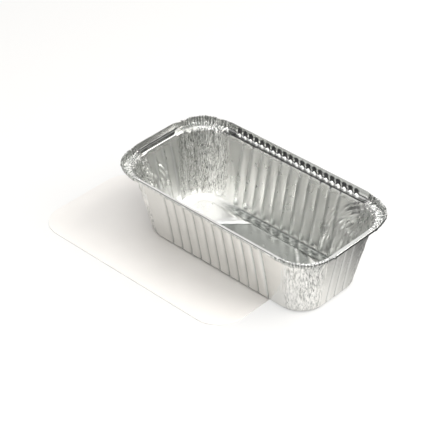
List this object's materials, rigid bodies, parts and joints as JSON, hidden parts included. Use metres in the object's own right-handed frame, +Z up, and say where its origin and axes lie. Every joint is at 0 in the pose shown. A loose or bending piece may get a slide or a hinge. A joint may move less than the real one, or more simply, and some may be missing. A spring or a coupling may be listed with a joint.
{
  "type": "foil food container",
  "caption": "Rectangular aluminium-foil food tray with ribbed walls, gathered round corners and a hemmed rim, standing on its own flat board lid.",
  "frame": {"origin": "on the table, under the middle of the box round the tray and its lid", "axes": "+X along the tray's long sides, +Y along its short sides, +Z up"},
  "size_m": [0.2464, 0.137, 0.0614],
  "materials": {
    "foil": "bright rolled foil, finely wrinkled at the corners",
    "board": "plain white paper board, matt"
  },
  "bodies": {
    "root": {"foil_tray": "foil", "board_lid": "board"}
  },
  "joints": []
}
